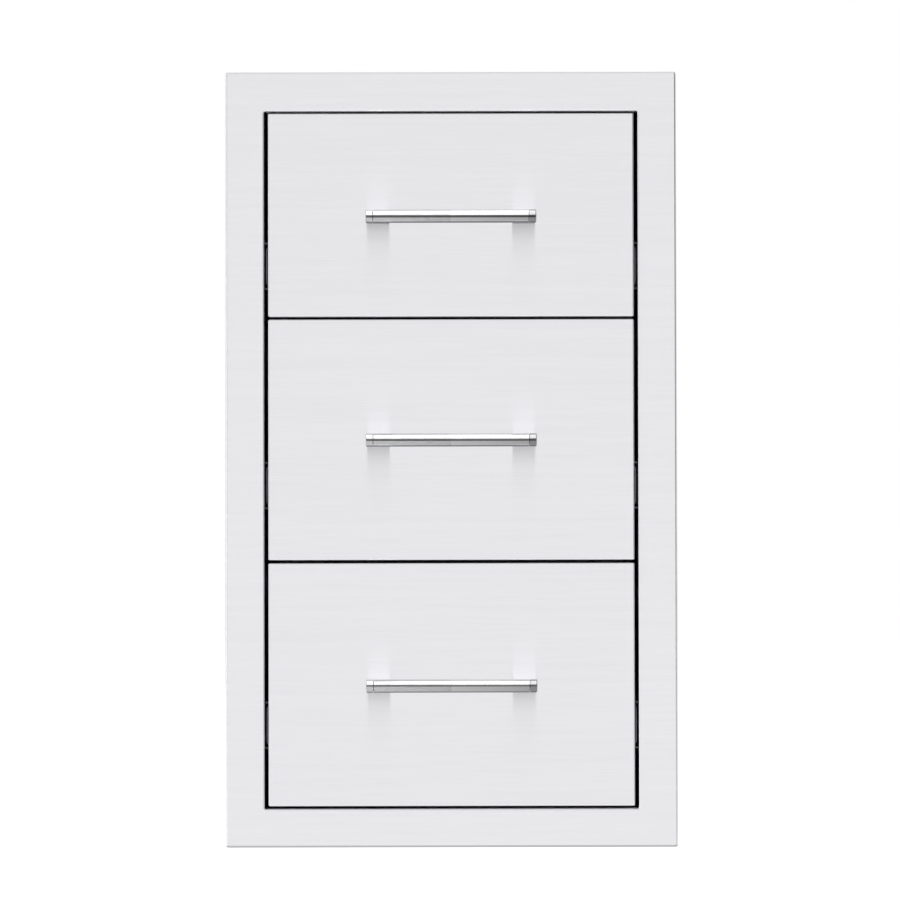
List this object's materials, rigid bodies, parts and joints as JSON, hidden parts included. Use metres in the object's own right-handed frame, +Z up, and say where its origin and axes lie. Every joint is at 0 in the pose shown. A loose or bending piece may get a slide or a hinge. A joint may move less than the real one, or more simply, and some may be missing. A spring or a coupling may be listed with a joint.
{
  "type": "outdoor kitchen drawer unit",
  "caption": "Built-in stainless steel outdoor kitchen drawer unit: raised face frame, inset fronts with round bar handles, and full-extension drawers on telescopic ball slides.",
  "frame": {"origin": "on the wall plane, on the unit's centre line, in the middle of the lower one of the face frame's rear lips, which rest on the wall", "axes": "+Z up, +Y into the wall, +X to the right as seen from the front; the fronts face -Y"},
  "size_m": [0.4334, 0.563, 0.744],
  "materials": {
    "brushed_stainless": "horizontally brushed 304 stainless sheet",
    "bar_stainless": "satin drawn stainless rod",
    "cap_stainless": "turned stainless",
    "post_stainless": "satin stainless",
    "mill_stainless": "mill finish 304 stainless sheet",
    "rail_zinc": "bright zinc plated roll-formed steel",
    "cage_zinc": "zinc plated pressed steel",
    "ball_steel": "polished bearing steel",
    "bumper_rubber": "moulded black rubber"
  },
  "bodies": {
    "cabinet": {"face_frame": "brushed_stainless", "case_side_left": "mill_stainless", "case_side_right": "mill_stainless", "case_top": "mill_stainless", "case_bottom": "mill_stainless", "case_back": "mill_stainless", "bottom_cabinet_rail_left": "rail_zinc", "bottom_cabinet_rail_right": "rail_zinc", "bottom_slide_bumpers": "bumper_rubber", "middle_cabinet_rail_left": "rail_zinc", "middle_cabinet_rail_right": "rail_zinc", "middle_slide_bumpers": "bumper_rubber", "top_cabinet_rail_left": "rail_zinc", "top_cabinet_rail_right": "rail_zinc", "top_slide_bumpers": "bumper_rubber"},
    "bottom_drawer": {"bottom_front_skin": "brushed_stainless", "bottom_front_liner": "mill_stainless", "bottom_drawer_box": "mill_stainless", "bottom_handle_bar": "bar_stainless", "bottom_handle_caps": "cap_stainless", "bottom_handle_posts": "post_stainless", "bottom_drawer_rail_left": "rail_zinc", "bottom_drawer_rail_right": "rail_zinc"},
    "bottom_centre_rails": {"bottom_centre_rail_left": "rail_zinc", "bottom_centre_rail_right": "rail_zinc"},
    "bottom_outer_ball_cages": {"bottom_outer_cages": "cage_zinc", "bottom_outer_balls": "ball_steel"},
    "bottom_inner_ball_cages": {"bottom_inner_cages": "cage_zinc", "bottom_inner_balls": "ball_steel"},
    "middle_drawer": {"middle_front_skin": "brushed_stainless", "middle_front_liner": "mill_stainless", "middle_drawer_box": "mill_stainless", "middle_handle_bar": "bar_stainless", "middle_handle_caps": "cap_stainless", "middle_handle_posts": "post_stainless", "middle_drawer_rail_left": "rail_zinc", "middle_drawer_rail_right": "rail_zinc"},
    "middle_centre_rails": {"middle_centre_rail_left": "rail_zinc", "middle_centre_rail_right": "rail_zinc"},
    "middle_outer_ball_cages": {"middle_outer_cages": "cage_zinc", "middle_outer_balls": "ball_steel"},
    "middle_inner_ball_cages": {"middle_inner_cages": "cage_zinc", "middle_inner_balls": "ball_steel"},
    "top_drawer": {"top_front_skin": "brushed_stainless", "top_front_liner": "mill_stainless", "top_drawer_box": "mill_stainless", "top_handle_bar": "bar_stainless", "top_handle_caps": "cap_stainless", "top_handle_posts": "post_stainless", "top_drawer_rail_left": "rail_zinc", "top_drawer_rail_right": "rail_zinc"},
    "top_centre_rails": {"top_centre_rail_left": "rail_zinc", "top_centre_rail_right": "rail_zinc"},
    "top_outer_ball_cages": {"top_outer_cages": "cage_zinc", "top_outer_balls": "ball_steel"},
    "top_inner_ball_cages": {"top_inner_cages": "cage_zinc", "top_inner_balls": "ball_steel"}
  },
  "joints": [
    {"name": "bottom_drawer_slide", "type": "slide", "parent": "cabinet", "child": "bottom_drawer", "axis": [0, -1, 0], "range_m": [0, 0.45]},
    {"name": "bottom_centre_rails_slide", "type": "slide", "parent": "cabinet", "child": "bottom_centre_rails", "axis": [0, -1, 0], "range_m": [0, 0.225]},
    {"name": "bottom_outer_ball_cages_slide", "type": "slide", "parent": "cabinet", "child": "bottom_outer_ball_cages", "axis": [0, -1, 0], "range_m": [0, 0.1125]},
    {"name": "bottom_inner_ball_cages_slide", "type": "slide", "parent": "cabinet", "child": "bottom_inner_ball_cages", "axis": [0, -1, 0], "range_m": [0, 0.3375]},
    {"name": "middle_drawer_slide", "type": "slide", "parent": "cabinet", "child": "middle_drawer", "axis": [0, -1, 0], "range_m": [0, 0.45]},
    {"name": "middle_centre_rails_slide", "type": "slide", "parent": "cabinet", "child": "middle_centre_rails", "axis": [0, -1, 0], "range_m": [0, 0.225]},
    {"name": "middle_outer_ball_cages_slide", "type": "slide", "parent": "cabinet", "child": "middle_outer_ball_cages", "axis": [0, -1, 0], "range_m": [0, 0.1125]},
    {"name": "middle_inner_ball_cages_slide", "type": "slide", "parent": "cabinet", "child": "middle_inner_ball_cages", "axis": [0, -1, 0], "range_m": [0, 0.3375]},
    {"name": "top_drawer_slide", "type": "slide", "parent": "cabinet", "child": "top_drawer", "axis": [0, -1, 0], "range_m": [0, 0.45]},
    {"name": "top_centre_rails_slide", "type": "slide", "parent": "cabinet", "child": "top_centre_rails", "axis": [0, -1, 0], "range_m": [0, 0.225]},
    {"name": "top_outer_ball_cages_slide", "type": "slide", "parent": "cabinet", "child": "top_outer_ball_cages", "axis": [0, -1, 0], "range_m": [0, 0.1125]},
    {"name": "top_inner_ball_cages_slide", "type": "slide", "parent": "cabinet", "child": "top_inner_ball_cages", "axis": [0, -1, 0], "range_m": [0, 0.3375]}
  ],
  "couplings": [
    {"joint": "bottom_centre_rails_slide", "follows": "bottom_drawer_slide", "ratio": 0.5},
    {"joint": "bottom_outer_ball_cages_slide", "follows": "bottom_drawer_slide", "ratio": 0.25},
    {"joint": "bottom_inner_ball_cages_slide", "follows": "bottom_drawer_slide", "ratio": 0.75},
    {"joint": "middle_centre_rails_slide", "follows": "middle_drawer_slide", "ratio": 0.5},
    {"joint": "middle_outer_ball_cages_slide", "follows": "middle_drawer_slide", "ratio": 0.25},
    {"joint": "middle_inner_ball_cages_slide", "follows": "middle_drawer_slide", "ratio": 0.75},
    {"joint": "top_centre_rails_slide", "follows": "top_drawer_slide", "ratio": 0.5},
    {"joint": "top_outer_ball_cages_slide", "follows": "top_drawer_slide", "ratio": 0.25},
    {"joint": "top_inner_ball_cages_slide", "follows": "top_drawer_slide", "ratio": 0.75}
  ]
}
